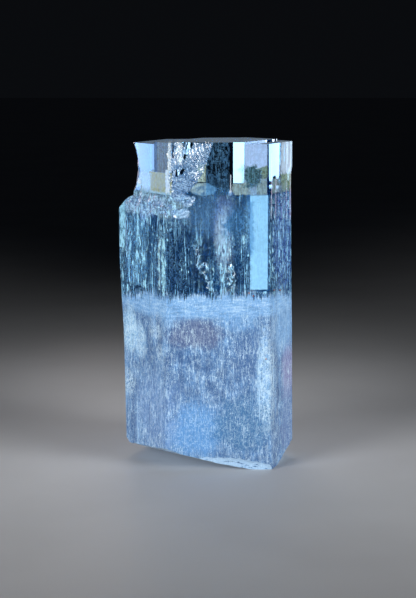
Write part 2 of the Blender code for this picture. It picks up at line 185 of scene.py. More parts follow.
beryl = {
    "ior": 1.577,
    "absorbColour": (0.05, 0.62, 0.92),
    "absorbDensity": 64.0,
    "coatRoughness": 0.05,
    "bumpStrength": 0.3,
    "bumpDistance": 0.06,
    # the grains that every pattern is made of: size along X, Y and Z, detail, roughness, shift
    "grains": {
        "wobble": ((2.6, 2.6, 2.6), 3.0),
        "mottle": ((0.8, 0.8, 0.8), 3.0, 0.6, 21.0),
        "rain": ((0.24, 0.24, 1.8), 2.0, 0.55),
        "fineRain": ((0.18, 0.18, 0.6), 2.0, 0.55, 7.3),
        "broadRain": ((1.1, 1.1, 9.0), 3.0, 0.6, 3.1),
        "speck": ((0.22, 0.22, 0.26), 1.0, 0.5, 5.7),
        "wisps": ((2.2, 2.2, 0.34), 3.0, 0.6, 43.0),
        "fleck": ((0.36, 0.75, 1.5), 3.0, 0.65, 71.0),
        "clumps": ((0.8, 0.8, 5.5), 3.0, 0.6, 61.0),
        "tubes": ((0.26, 0.26, 8.0), 2.0, 0.5, 31.0),
    },
    # thin winding lines: size, width, shift
    "windings": {
        "threads": ((0.7, 0.7, 1.1), 0.030, 11.9),
        "broadThreads": ((1.5, 1.5, 2.2), 0.014, 17.0),
        "crackle": ((0.55, 0.55, 0.75), 0.055, 53.0),
    },
    "paintedDepths": (2.0, 1.0),  # the places painted on the front fade out between these Y
    "crownStart": (49.6, 50.6),
    "cloudTop": 32.4,             # height of the milky zone's upper edge at the front
    "cloudTopSoft": 0.7,
    "cloudSlant": 3.4,            # how much lower that edge is at the back
    "cloudWisps": (4.5, 1.6, 0.9),        # how far the fine, broad and slow grains lift it
    "hazeStart": (26.5, 28.5),
    "cloudPale": (0.19, 0.40, 0.74),
    "cloudDeep": (0.045, 0.110, 0.27),
    "cloudBright": (0.64, 0.86, 1.0),
    "cloudCover": 0.95,
    "tubeTint": (0.34, 0.72, 1.0),
    "bandTint": (0.024, 0.155, 0.40),
    "bandMilk": 0.55,
    "gloomTint": (0.003, 0.026, 0.095),
    "fleckTint": (0.46, 0.84, 1.0),
    "brokenTint": (0.13, 0.30, 0.60),
    "brokenMilk": 0.46,
    "brokenPale": (0.52, 0.76, 1.0),
    # fine shell ripples on the broken faces: where they start, their pitch
    "shellRipples": (((-1.6, -9.4, 58.2), 0.36), ((-2.0, -14.0, 43.5), 0.50)),
    # milky zone patches: centre, radii, colour, strength
    "patches": (
        ((0.0, -11.0, 30.4), (22.0, 30.0, 2.4), (0.21, 0.44, 0.78), 0.95),
        ((-5.2, -11.0, 27.6), (2.6, 9.0, 1.7), (0.20, 0.42, 0.75), 0.70),
        ((5.6, -11.0, 27.2), (3.2, 9.0, 1.5), (0.19, 0.41, 0.75), 0.70),
        ((-2.0, -11.0, 25.4), (5.0, 9.0, 2.6), (0.115, 0.150, 0.29), 0.85),
        ((8.2, -10.5, 21.5), (4.0, 9.0, 4.2), (0.075, 0.165, 0.37), 0.75),
        ((-14.2, -2.5, 24.6), (1.5, 5.0, 3.9), (0.36, 0.68, 1.0), 0.66),
        ((-12.4, -6.0, 22.9), (1.2, 5.0, 3.3), (0.33, 0.62, 0.96), 0.60),
        ((10.4, -10.2, 15.5), (1.3, 5.0, 9.0), (0.25, 0.50, 0.84), 0.75),
        ((-2.0, -11.0, 7.8), (5.2, 9.0, 4.8), (0.12, 0.34, 0.72), 0.85),
        ((6.6, -10.5, 8.5), (5.0, 9.0, 5.0), (0.060, 0.19, 0.40), 0.80),
        ((15.0, -2.2, 17.0), (2.0, 3.4, 5.2), (0.38, 0.33, 0.58), 0.60),
        ((15.0, -2.2, 8.0), (2.6, 3.4, 6.2), (0.15, 0.25, 0.50), 0.70),
        ((14.2, -4.0, 26.5), (3.0, 6.0, 5.5), (0.27, 0.52, 0.88), 0.70),
        ((-9.0, -8.0, 10.5), (4.5, 9.0, 7.0), (0.175, 0.33, 0.64), 0.70),
        ((-5.0, 11.0, 21.0), (6.0, 5.0, 5.5), (0.27, 0.54, 0.90), 0.80),
        ((3.0, 11.0, 8.5), (5.0, 5.0, 5.0), (0.12, 0.32, 0.68), 0.80),
        ((10.5, 6.0, 20.0), (3.6, 5.0, 7.0), (0.25, 0.50, 0.86), 0.80),
        ((-13.5, 4.5, 12.0), (3.6, 5.0, 7.0), (0.22, 0.46, 0.84), 0.80),
    ),
    # places in the milky zone where the streaks fade
    "calm": (
        ((0.0, -11.0, 30.4), (22.0, 30.0, 2.2), 0.80),
        ((-2.0, -11.0, 7.0), (5.2, 9.0, 4.2), 0.65),
        ((5.5, -10.5, 7.5), (4.5, 9.0, 5.0), 0.40),
        ((15.0, -2.2, 26.0), (3.0, 4.4, 5.2), 0.40),
        ((15.0, -2.2, 8.0), (3.4, 5.0, 7.2), 0.50),
    ),
    # and where they sparkle
    "sparkle": (
        ((-14.2, -3.0, 24.2), (1.5, 5.0, 3.9), 0.80),
        ((-12.3, -6.0, 22.8), (1.1, 5.0, 3.1), 0.70),
        ((11.0, -9.6, 17.0), (1.7, 5.0, 9.0), 0.70),
        ((-9.2, -9.0, 25.4), (1.1, 6.0, 1.4), 0.65),
        ((-8.2, -10.0, 21.5), (0.8, 6.0, 1.6), 0.55),
        ((-14.6, -3.0, 14.6), (1.2, 6.0, 2.6), 0.75),
    ),
    # smooth places in the clear band: the pale strip of painted light, below the ledge, and below
    # the crown
    "quietSheets": (((7.6, 11.1), (33.0, 50.3), 0.1, 1.0), ((-18.0, -4.2), (46.2, 50.5), 0.8, 0.8)),
    "quietVeil": ((2.2, -11.0, 46.4), (6.6, 2.5, 4.4)),
    # the last tint over the right-hand face: centre, radii, colour, strength
    "wash": ((14.2, -4.0, 42.0), (2.6, 7.0, 9.5), (0.075, 0.15, 0.62), 0.42),
    # places left clear, so that the crack flakes behind them show
    "openings": (((-0.7, -11.0, 37.2), (1.9, 2.5, 4.6)), ((4.5, -11.0, 35.3), (1.0, 2.5, 2.6))),
    # dark upright places in the clear band: x range, z range, edge, ragged, colour, strength
    "navyColumns": (
        ((-10.3, -8.7), (32.0, 46.2), 0.20, 0.8, (0.008, 0.055, 0.16), 0.88),
        ((-6.9, -2.6), (32.0, 44.5), 0.35, 1.2, (0.002, 0.016, 0.058), 0.92),
        ((-2.6, 2.4), (32.0, 39.5), 0.60, 1.6, (0.006, 0.035, 0.11), 0.60),
        ((4.8, 7.7), (32.0, 40.5), 0.50, 1.6, (0.004, 0.030, 0.10), 0.85),
    ),
    # hazy places in the clear part, round, and two painted glints among them: centre, radii, edge,
    # ragged, grain, colour, milk
    "veilsAndPaintedGlints": (
        ((-0.55, -11.0, 51.25), (2.3, 2.0, 1.15), 0.12, 0.9, 0.30, (0.40, 0.58, 0.62), 0.90),
        ((-9.6, -8.2, 54.25), (0.55, 1.5, 0.30), 0.3, 1.5, 0.3, (0.14, 0.20, 0.07), 0.85),
        ((-8.4, -9.8, 54.2), (0.45, 1.5, 0.32), 0.2, 0.8, 0.0, (0.01, 0.03, 0.09), 0.85),
        ((-12.3, -3.0, 53.6), (0.45, 1.8, 1.2), 0.3, 1.6, 0.2, (0.030, 0.045, 0.16), 0.90),
        # painted glint: a white spot below the notch on the crown's left face
        ((-12.1, -3.2, 52.1), (0.40, 1.8, 0.60), 0.4, 1.4, 0.0, (0.80, 0.93, 1.0), 0.90),
        ((4.2, -10.6, 50.6), (0.40, 1.5, 0.60), 0.5, 1.0, 0.0, (0.80, 0.90, 1.0), 0.85),
        ((7.9, -10.4, 53.1), (1.4, 1.5, 1.9), 0.5, 1.8, 0.3, (0.018, 0.065, 0.085), 0.94),
        ((7.0, -10.4, 54.6), (1.2, 1.5, 0.8), 0.5, 1.8, 0.4, (0.10, 0.18, 0.26), 0.70),
        ((14.2, -3.6, 51.3), (0.9, 2.4, 0.65), 0.3, 1.6, 0.2, (0.30, 0.36, 0.10), 0.90),
        # painted glints: white spots among the olive patch on the crown's right face
        ((14.5, -3.3, 52.9), (0.5, 1.6, 0.55), 0.4, 1.6, 0.0, (0.80, 0.90, 0.84), 0.80),
        ((1.0, -11.0, 46.4), (6.4, 2.5, 4.2), 0.9, 1.8, 0.45, (0.08, 0.21, 0.42), 0.76),
        ((3.2, -11.0, 44.0), (1.5, 2.0, 6.0), 0.9, 1.2, 0.5, (0.16, 0.31, 0.66), 0.90),
        ((3.1, -11.0, 41.4), (1.2, 2.0, 4.6), 0.9, 1.6, 0.4, (0.46, 0.70, 1.0), 0.88),
        ((6.4, -11.0, 44.6), (2.6, 2.0, 2.6), 0.9, 1.8, 0.9, (0.08, 0.27, 0.58), 0.85),
        ((-8.9, -9.3, 45.6), (0.45, 2.0, 1.5), 0.4, 0.7, 0.0, (0.16, 0.09, 0.38), 0.60),
        ((6.5, -11.0, 35.4), (1.6, 2.0, 1.6), 0.8, 1.8, 0.8, (0.03, 0.13, 0.30), 0.80),
        ((14.0, -4.0, 42.0), (3.0, 6.0, 9.5), 0.8, 1.2, 0.8, (0.045, 0.130, 0.50), 0.75),
    ),
    # hazy places with straight edges, and among them painted highlights and a pale strip of painted
    # light: x range, z range, edge, ragged, grain, colour, milk
    "sheetsAndPaintedLight": (
        ((-10.2, -6.0), (50.2, 54.15), 0.14, 0.30, 0.35, (0.37, 0.395, 0.185), 0.92),
        ((-11.9, -10.2), (50.0, 54.0), 0.40, 0.90, 0.4, (0.50, 0.74, 0.88), 0.65),
        ((-9.2, -6.3), (54.1, 59.6), 0.05, 0.06, 0.22, (0.115, 0.115, 0.10), 0.94),
        ((-9.25, -8.7), (54.1, 59.6), 0.05, 0.06, 0.10, (0.035, 0.060, 0.14), 0.86),
        ((-1.5, -0.05), (52.6, 55.7), 0.12, 0.50, 0.6, (0.45, 0.60, 0.52), 0.85),
        ((0.0, 4.1), (50.3, 59.7), 0.10, 0.30, 1.0, (0.09, 0.27, 0.54), 0.42),
        ((4.22, 4.40), (50.8, 53.8), 0.05, 0.05, 0.1, (0.70, 0.82, 0.95), 0.70),
        ((6.75, 10.75), (54.4, 60.0), 0.10, 0.15, 0.20, (0.42, 0.62, 0.98), 0.90),
        ((6.75, 10.75), (50.2, 54.4), 0.10, 0.15, 0.40, (0.28, 0.45, 0.66), 0.84),
        ((4.6, 7.8), (50.3, 52.3), 0.14, 0.90, 0.45, (0.28, 0.40, 0.42), 0.90),
        ((8.9, 10.75), (50.3, 52.8), 0.14, 0.90, 0.4, (0.25, 0.38, 0.41), 0.90),
        ((8.9, 10.75), (53.2, 55.0), 0.30, 1.80, 0.7, (0.18, 0.28, 0.22), 0.80),
        ((6.9, 9.3), (51.9, 55.1), 0.90, 3.00, 0.4, (0.040, 0.105, 0.13), 0.94),
        ((11.7, 13.4), (50.3, 53.0), 0.20, 0.90, 0.5, (0.26, 0.38, 0.42), 0.85),
        ((13.4, 16.0), (50.3, 54.2), 0.20, 1.50, 0.45, (0.27, 0.39, 0.24), 0.93),
        ((13.3, 16.4), (53.6, 59.6), 0.40, 1.20, 0.2, (0.64, 0.82, 1.0), 0.90),
        ((-5.5, -4.1), (55.3, 59.4), 0.22, 0.90, 0.4, (0.82, 0.94, 1.0), 0.95),
        # the next two rows are a painted highlight: the pale blue-white line down the chip's left
        # edge
        ((-6.7, -6.15), (54.6, 59.6), 0.10, 0.40, 0.2, (0.80, 0.93, 1.0), 0.95),
        ((-7.1, -6.4), (50.6, 54.6), 0.16, 0.50, 0.3, (0.70, 0.88, 1.0), 0.90),
        ((-6.0, -5.6), (56.6, 59.4), 0.08, 0.30, 0.0, (0.015, 0.03, 0.08), 0.90),
        ((-4.0, -3.5), (57.2, 59.4), 0.10, 0.40, 0.2, (0.03, 0.06, 0.13), 0.85),
        ((-18.0, -4.2), (46.3, 50.4), 0.70, 1.60, 0.90, (0.44, 0.76, 1.0), 0.98),
        # the next three rows paint the pale blue strip and its soft upper-left edge: painted light,
        # a bright lamp seen through the crystal, painted on its front
        ((7.75, 10.95), (33.3, 40.0), 0.12, 0.15, 0.15, (0.30, 0.66, 1.0), 0.96),
        ((7.75, 10.95), (39.0, 50.15), 0.12, 0.15, 0.20, (0.30, 0.66, 1.0), 0.94),
        ((7.0, 8.2), (39.5, 49.0), 0.70, 1.60, 0.8, (0.16, 0.42, 0.75), 0.80),
        # painted highlight: the left edge of the clear band catching light, as a pale cyan rim
        ((-18.0, -14.9), (39.5, 48.8), 0.25, 0.60, 0.15, (0.36, 0.76, 1.0), 0.90),
        ((-14.8, -13.4), (33.4, 44.5), 0.25, 0.60, 0.35, (0.045, 0.19, 0.50), 0.80),
        ((-13.2, -10.8), (33.2, 45.5), 0.60, 1.50, 1.0, (0.17, 0.50, 0.95), 1.0),
        ((-9.45, -8.55), (33.6, 46.5), 0.06, 0.20, 0.05, (0.022, 0.060, 0.20), 0.85),
        ((-8.5, -8.2), (33.2, 42.8), 0.06, 0.20, 0.4, (0.62, 0.90, 1.0), 0.95),
        ((-8.2, -7.0), (33.2, 42.0), 0.20, 0.70, 0.8, (0.13, 0.38, 0.70), 1.0),
        ((-7.85, -7.45), (33.2, 42.6), 0.14, 0.70, 0.5, (0.46, 0.86, 1.0), 1.0),
    ),
}


# in this finish's functions, the two numbers of a ramp are the levels of its grain at which the
# pattern starts and is full, and the factors after it say how much it counts
def strongest(masks):
    # the highest of several masks at each place
    highest = 0.0
    for mask in masks:
        highest = mask.most(highest)
    return highest


def layPatterns(g, settings):
    # what the crystal's haze, streaks and flecks are made of
    p = SimpleNamespace(**{name: g.grain(*row) for name, row in settings["grains"].items()})
    p.wobble = p.wobble - 0.5
    p.mottle = p.mottle - 0.5
    p.wisps = p.wisps + p.wobble * 0.2
    p.clumps = (p.clumps + p.wobble * 0.25).ramp(0.49, 0.60)
    windings = {name: g.lines(*row) for name, row in settings["windings"].items()}
    p.threads = windings["threads"].most(windings["broadThreads"])
    p.crackle = windings["crackle"].most(p.speck.ramp(0.58, 0.68))
    p.broken = g.node("Attribute", {"attribute_name": "brokenFace"}, {}, "Fac")
    p.front = g.across.ramp(*settings["paintedDepths"])
    p.inCrown = g.height.ramp(*settings["crownStart"])
    return p


def milkyMask(g, p, settings):
    # the milky zone, whose top edge breaks into upright wisps
    fine, broad, slow = settings["cloudWisps"]
    lift = (p.rain - 0.5) * fine + (p.broadRain - 0.5) * broad + p.wobble * slow
    slant = g.across.ramp(-8.0, 8.0) * settings["cloudSlant"]
    top, soft = settings["cloudTop"], settings["cloudTopSoft"]
    return (g.height - lift + slant).ramp(top + soft, top - soft)


def milkyColour(g, p, settings):
    # patches first, then upright streaks, then the calm and the sparkling places
    deep, pale, bright = [settings[name] for name in ("cloudDeep", "cloudPale", "cloudBright")]
    colour = g.blend(deep, pale, (p.broadRain * 0.8 + p.wobble * 0.8 + 0.1).ramp(0.2, 0.9))
    for centre, radii, tint, strength in settings["patches"]:
        mask = g.spot(centre, radii, p.wobble * 1.1 + (p.rain - 0.5) * 0.5 + p.mottle * 0.6)
        colour = g.blend(colour, tint, mask * strength)
    calm = strongest(g.spot(centre, radii, p.wobble * 0.8 + p.mottle * 0.5) * strength
                     for centre, radii, strength in settings["calm"])
    sparkle = strongest(g.spot(centre, radii, p.wobble * 1.2 + p.mottle) * strength
                        for centre, radii, strength in settings["sparkle"])
    lively = 1.0 - calm
    thick = (p.wobble * 1.3 + p.mottle * 0.3 + 0.5).ramp(0.0, 1.0) * 0.9 + 0.15
    glints = p.rain.ramp(0.55, 0.66) * 0.6 + p.fineRain.ramp(0.55, 0.66) * 0.5 \
        + p.threads * 0.3 + p.speck.ramp(0.62, 0.72) * 0.8
    shade = p.rain.ramp(0.46, 0.36) * 0.6 + p.fineRain.ramp(0.46, 0.34) * 0.6 \
        + p.speck.ramp(0.40, 0.30) * 0.3
    colour = g.blend(colour, deep, (shade * lively).least(1.0) * 0.74)
    colour = g.blend(colour, bright, (glints * lively * thick).least(1.0) * 0.95)
    inHaze = g.height.ramp(*settings["hazeStart"])
    streaky = (p.wisps.ramp(0.52, 0.66) * 0.4 * inHaze + p.threads * 0.25
               + p.speck.ramp(0.60, 0.70) * 0.5 + p.rain.ramp(0.60, 0.68) * 0.35) * calm
    colour = g.blend(colour, bright, streaky.least(0.8))
    dull = (p.wisps.ramp(0.46, 0.34) * 0.5 * inHaze + p.speck.ramp(0.40, 0.30) * 0.4) * calm
    colour = g.blend(colour, deep, dull * 0.7)
    twinkle = p.mottle.ramp(0.0, 0.12) * 0.5 + p.crackle * 0.8 + p.rain.ramp(0.55, 0.63) * 0.5
    colour = g.blend(colour, bright, twinkle.least(1.0) * sparkle)
    colour = g.blend(colour, pale, p.mottle.ramp(-0.06, -0.18) * sparkle * 0.7)
    return g.blend(colour, settings["brokenPale"], p.broken * 0.7)


def shellPattern(g, p, settings):
    # fine shell ripples over the broken faces
    crownRings, ledgeRings = [g.rings(centre, pitch, p.mottle * 2.4 + p.wobble * 1.6)
                              for centre, pitch in settings["shellRipples"]]
    shell = (crownRings * p.inCrown + ledgeRings * (1.0 - p.inCrown)).ramp(0.3, 0.9)
    lumps = (p.wobble * 1.4 + p.mottle).ramp(-0.15, 0.3) * (1.0 - p.inCrown * 0.6)
    return shell * (p.wobble + p.mottle).ramp(-0.2, 0.25) * 0.5 + p.crackle * 0.5 + lumps * 0.4


def hazeAndPaintedLight(g, p, settings):
    # each place's mask, hazy ones and painted highlights alike, and how grainy, what colour and how
    # milky it is
    for centre, radii, edge, ragged, grain, tint, strength in settings["veilsAndPaintedGlints"]:
        yield g.spot(centre, radii, p.mottle * ragged, edge), grain, tint, strength
    for across, upright, edge, ragged, grain, tint, strength in settings["sheetsAndPaintedLight"]:
        mask = (g.side + p.mottle * ragged).within(across, edge) \
            * (g.height + p.mottle * ragged).within(upright, edge)
        yield mask, grain, tint, strength


def clearBand(g, p, settings):
    # upright tubes, dust, sparks, haze and painted highlights: the clear part's tint and how milky
    # it is
    tubes = p.tubes.ramp(0.59, 0.625) * p.fineRain.ramp(0.34, 0.50) * p.broadRain.ramp(0.38, 0.50)
    dust = p.speck.ramp(0.62, 0.70) * (p.wobble + p.mottle * 0.6).ramp(0.0, 0.2)
    grit = (p.threads * 0.4 + p.rain.ramp(0.53, 0.61) * 0.5 + p.mottle.ramp(-0.04, 0.16) * 0.3
            + p.crackle * (p.mottle + 0.5).ramp(0.40, 0.58) * 0.7).least(1.0)
    drift = (p.broadRain * 0.6 + p.wobble * 1.2 + 0.2).ramp(0.2, 0.8)
    band = (grit * 0.45 + 0.35 + p.mottle * 0.6) * (drift * 0.8 + 0.2) * settings["bandMilk"]
    sparks = p.crackle * p.clumps * (p.mottle + 0.5).ramp(0.3, 0.6)
    milk = (tubes * 0.95).most(band).most(dust * 0.8).most(sparks * 0.85) * (1.0 - p.inCrown)
    gloom = (p.rain.ramp(0.47, 0.38) * 0.6 + p.mottle.ramp(-0.02, -0.14) * 0.7
             + p.fleck.ramp(0.47, 0.38) * 0.3).least(1.0)
    tint = g.blend(settings["bandTint"], settings["gloomTint"], gloom * 0.9)
    for mask, grain, colour, strength in hazeAndPaintedLight(g, p, settings):
        mask = mask * p.front
        tint = g.blend(tint, colour, mask.ramp(0.0, 0.6))
        milk = milk.most(mask * (grit * grain + (1.0 - grain)) * strength)
    still = 0.0
    for across, upright, edge, ragged, colour, strength in settings["navyColumns"]:
        mask = (g.side + p.mottle * ragged).within(across, edge) * p.front \
            * (g.height + p.mottle * ragged * 2.0).within(upright, edge * 2.0) * strength
        tint = g.blend(tint, colour, mask)
        milk = milk.most(mask)
        still = mask.most(still)

    # flecks over all but the quiet places, then the wash, and the openings onto the flakes
    quiet = strongest(g.side.within(across, edge) * g.height.within(upright, edge) * p.front
                      * strength for across, upright, edge, strength in settings["quietSheets"])
    veil = g.spot(*settings["quietVeil"], p.wobble * 0.8) * p.front
    restless = (1.0 - quiet) * (1.0 - veil * 0.85) * (1.0 - p.inCrown) * (1.0 - p.broken)
    level = p.fleck + (p.clumps - 0.5) * 0.05
    paleLevel = level + (milk - 0.5) * 0.06 * (1.0 - still) - still * 0.095
    darkFlecks = level.ramp(0.49, 0.43) * restless
    paleFlecks = paleLevel.ramp(0.55, 0.59) * restless
    tint = g.blend(tint, settings["gloomTint"], darkFlecks * 0.90)
    tint = g.blend(tint, settings["fleckTint"], paleFlecks * 0.95)
    centre, radii, colour, strength = settings["wash"]
    tint = g.blend(tint, colour, g.spot(centre, radii, p.wobble) * p.front * strength)
    milk = milk.most(darkFlecks * 0.92).most(paleFlecks * 0.92)
    opening = strongest(g.spot(centre, radii, p.wobble * 1.2 + p.mottle * 0.8)
                        for centre, radii in settings["openings"])
    milk = milk * (1.0 - opening * p.front * 0.75)

    # the broken faces, and what glints over everything
    shell = shellPattern(g, p, settings)
    torn = p.broken * (1.0 - milk.ramp(0.5, 0.9))
    tornTint = g.blend(settings["brokenTint"], settings["brokenPale"], shell.least(1.0))
    tint = g.blend(tint, tornTint, torn)
    milk = milk.most(p.broken * (shell * 0.45 + settings["brokenMilk"]))
    bright = dust.most(p.threads * 0.45).most(p.rain.ramp(0.60, 0.67) * 0.6).most(sparks)
    bright = bright * (restless + p.inCrown) * (1.0 - still * 0.8)
    bright = bright.most(tubes * (restless + p.inCrown)) * (1.0 - torn)
    return g.blend(tint, settings["tubeTint"], bright * (1.0 - p.inCrown * 0.7)), milk


def makeBeryl(settings):
    g = Graph("clearAndMilkyBeryl")
    p = layPatterns(g, settings)
    cloud = milkyMask(g, p, settings)
    clearTint, milk = clearBand(g, p, settings)
    colour = g.blend(clearTint, milkyColour(g, p, settings), cloud)
    milk = milk.most(cloud * settings["cloudCover"])
    relief = (p.rain * 0.5 + p.broadRain + p.fineRain * 0.3) * (1.0 - p.inCrown) \
        + p.speck * p.broken * 2.0
    ripples = g.node("Bump", {}, {"Strength": settings["bumpStrength"], "Height": relief,
                                  "Distance": settings["bumpDistance"] * mm})
    clear = g.shine({"Base Color": rgb(1, 1, 1), "Transmission Weight": 1.0,
                     "IOR": settings["ior"], "Normal": ripples,
                     "Roughness": p.broken * 0.16 + 0.015})
    milky = g.shine({"Base Color": colour, "Roughness": 0.9, "IOR": settings["ior"],
                     "Specular IOR Level": 0.0, "Coat Weight": 1.0,
                     "Coat Roughness": settings["coatRoughness"],
                     "Coat IOR": settings["ior"], "Normal": ripples})
    surface = g.node("MixShader", {}, {0: milk.least(1.0), 1: clear, 2: milky})
    volume = g.node("VolumeAbsorption", {}, {"Color": rgb(*settings["absorbColour"]),
                                             "Density": settings["absorbDensity"]})
    print("beryl mixed:", len(g.tree.nodes), "nodes")
    return g.finish(surface, volume)


def pickOnly(piece):
    if bpy.context.object and bpy.context.object.mode != "OBJECT":
        bpy.ops.object.mode_set(mode="OBJECT")
    bpy.ops.object.select_all(action="DESELECT")
    piece.select_set(True)
    bpy.context.view_layer.objects.active = piece


def selectFaces(piece, wanted):
    # chooses faces in code, ready for edit mode
    for line in piece.data.edges:
        line.select = False
    for corner in piece.data.vertices:
        corner.select = False
    for face in piece.data.polygons:
        face.select = wanted(face)


def selectAllOf(piece):
    # opens edit mode with the whole mesh selected
    pickOnly(piece)
    bpy.ops.object.mode_set(mode="EDIT")
    bpy.ops.mesh.select_all(action="SELECT")


def cutAlong(place, normal, **choices):
    # cuts all that shows in edit mode along one plane
    bpy.ops.mesh.select_all(action="SELECT")
    bpy.ops.mesh.bisect(plane_co=place, plane_no=normal, **choices)


def dress(piece, material):
    piece.data.materials.clear()
    piece.data.materials.append(material)
    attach(piece, "root")


def outward(turn):
    # the level direction in which a face with this turn looks
    angle = math.radians(turn)
    return Vector((math.cos(angle), math.sin(angle), 0))


def faceTurn(normal):
    return math.degrees(math.atan2(normal.y, normal.x)) % 360


def turnsApart(first, second):
    return abs((first - second + 180) % 360 - 180)


crystalSettings = {
    "node": "aquamarine_crystal",
    "mergeWithin": 0.002,
    "flatAngle": 0.4,
    "smoothAngle": 16.0,
    # the prism faces: which way each looks, how far it may lean (its normal's z), and how far
    # from the axis it stands
    "faceTurns": (-85.0, -25.0, 35.0, 95.0, 155.0, 215.0),
    "faceLeans": (0.035, 0.035, 0.035, 0.035, 0.12, 0.035),
    "faceWalls": (11.0, 14.2, 11.8, 10.4, 14.0, 12.3),
    "faceSlack": 11.0,
    # upright faces taller than this are growth steps, and these turns are smooth cuts
    "stepHeight": 8.0,
    "stepLean": 0.12,
    "cutTurns": (190.0, 75.0, 165.0),
    "cutSlack": 4.0,
    "cutLean": 0.03,
    "topLevel": 0.995,
    "footLevel": 0.9999,
    # upright growth lines: gaps between them, rows, and how deep the grooves go
    "grooveGaps": (0.20, 0.46),
    "grooveRows": 17,
    "rowJitter": (0.2, 0.8),
    "grooveTop": 48.8,
    "crownRows": (50.6, 53.5, 56.5, 58.9),
    "grooveDepth": 0.040,
    "grooveShare": (1.0, 1.0, 0.15, 0.6, 1.0, 1.0),       # how deep on each face
    "grooveCell": (0.42, 0.42, 6.5),
    "grooveContrast": 2.0,
    "keptEdge": 30.0,                                     # sharper edges than this stay straight
    "crownGrooves": {"face": 3, "across": (-1.6, 1.6), "share": 0.5},
    "seed": 5,
    # broken faces: cuts per edge, and the blow that each set of ripples spreads from
    "hackleCuts": 2,
    "hackleDepth": 0.10,
    "hackleCell": (0.42, 0.42, 0.55),
    "rippleFade": 3.0,
    "rippleScale": 2.2,
    "rippleSway": 7.0,
    "ripples": {
        "crownRipples": {"struck": (2.1, -11.2, 59.2), "reach": 14.0, "pitch": 0.62,
                         "depth": 0.085},
        "ledgeRipples": {"struck": (-3.0, -13.0, 43.0), "reach": 14.0, "pitch": 0.9,
                         "depth": 0.09},
    },
}


def isPrismFace(normal, settings):
    turn = faceTurn(normal)
    return any(turnsApart(turn, wanted) < settings["faceSlack"] and abs(normal.z) < lean
               for wanted, lean in zip(settings["faceTurns"], settings["faceLeans"]))


def isBroken(face, corners, settings):
    # neither a prism face, a step between two of them, the top, the foot nor a smooth cut
    normal = face.normal
    heights = [corners[number].co.z for number in face.vertices]
    isTall = max(heights) - min(heights) > settings["stepHeight"] * mm
    if isTall and abs(normal.z) < settings["stepLean"]:
        return False
    isEnd = normal.z > settings["topLevel"] or normal.z < -settings["footLevel"]
    isCut = abs(normal.z) < settings["cutLean"] and any(
        turnsApart(faceTurn(normal), turn) < settings["cutSlack"] for turn in settings["cutTurns"])
    return not (isPrismFace(normal, settings) or isEnd or isCut)


def markBroken(piece, settings):
    # a vertex group, and an attribute that the material reads, pick out the broken faces
    whole = set()
    for face in piece.data.polygons:
        if not isBroken(face, piece.data.vertices, settings):
            whole.update(face.vertices)
    inside = [number for number in range(len(piece.data.vertices)) if number not in whole]
    piece.vertex_groups.new(name="broken").add(inside, 1.0, "REPLACE")
    piece.data.attributes.new("brokenFace", "FLOAT", "POINT")
    shares = piece.data.attributes["brokenFace"].data
    for number in inside:
        shares[number].value = 1.0


def placeHelper(name, place, cell):
    # an empty whose own space lays out a displacement pattern
    helper = bpy.data.objects.new(name, None)
    helper.location = Vector(place) * mm
    helper.scale = Vector(cell) * mm
    bpy.context.scene.collection.objects.link(helper)
    bpy.context.view_layer.update()
    return helper


def pressIn(piece, group, texture, helper, depth):
    # presses a pattern of this depth into the surface
    press = piece.modifiers.new("press", "DISPLACE")
    press.texture = texture
    press.texture_coords = "OBJECT"
    press.texture_coords_object = helper
    press.vertex_group = group
    press.mid_level = 0.5
    press.strength = depth * mm
    pickOnly(piece)
    bpy.ops.object.modifier_apply(modifier=press.name)
    bpy.data.objects.remove(helper)


def cloudTexture(name, depth, contrast=1.0):
    texture = bpy.data.textures.new(name, "CLOUDS")
    texture.noise_scale = 1.0
    texture.noise_depth = depth
    texture.contrast = contrast
    return texture


def cutRows(piece, settings):
    # upright cuts across each prism face, then rows, so that growth lines can be pressed in
    draw = random.Random(settings["seed"])
    rows, top = settings["grooveRows"], settings["grooveTop"]
    pickOnly(piece)
    bpy.ops.object.mode_set(mode="EDIT")
    shape = bmesh.from_edit_mesh(piece.data)
    for turn in settings["faceTurns"]:
        out = outward(turn)
        along = Vector((-out.y, out.x, 0))
        bpy.ops.mesh.reveal(select=False)
        bpy.ops.mesh.select_all(action="DESELECT")
        reach = []
        for face in shape.faces:
            isHere = isPrismFace(face.normal, settings) \
                and turnsApart(faceTurn(face.normal), turn) < settings["faceSlack"]
            face.hide_set(not isHere)
            if isHere:
                reach += [corner.co.dot(along) for corner in face.verts]
        spot = min(reach) + settings["grooveGaps"][0] * mm
        while spot < max(reach):
            cutAlong(along * spot, along)
            spot += draw.uniform(*settings["grooveGaps"]) * mm
        heights = [(row + draw.uniform(*settings["rowJitter"])) / rows * top for row in range(rows)]
        for height in (*heights, top, *settings["crownRows"]):
            cutAlong((0, 0, height * mm), (0, 0, 1))
    bpy.ops.mesh.reveal(select=False)
    bpy.ops.object.mode_set(mode="OBJECT")


def shareGrooves(piece, settings):
    # a vertex group that says how deep the grooves go at each corner
    group = piece.vertex_groups.new(name="grooved")
    fixed, turns = set(), {}
    for face in piece.data.polygons:
        if not isPrismFace(face.normal, settings):
            fixed.update(face.vertices)
        for number in face.vertices:
            turns.setdefault(number, []).append(faceTurn(face.normal))
    crown = settings["crownGrooves"]
    left, right = crown["across"]
    for corner in piece.data.vertices:
        near = turns[corner.index]
        atEdge = any(turnsApart(turn, near[0]) > settings["keptEdge"] for turn in near)
        if corner.index in fixed or atEdge:
            continue
        number = min(range(6), key=lambda one: turnsApart(settings["faceTurns"][one], near[0]))
        share = settings["grooveShare"][number]
        if corner.co.z / mm > settings["grooveTop"] - 0.1:
            isGrooved = number == crown["face"] and left < corner.co.x / mm < right
            share = crown["share"] if isGrooved else 0.0
        group.add([corner.index], share, "REPLACE")


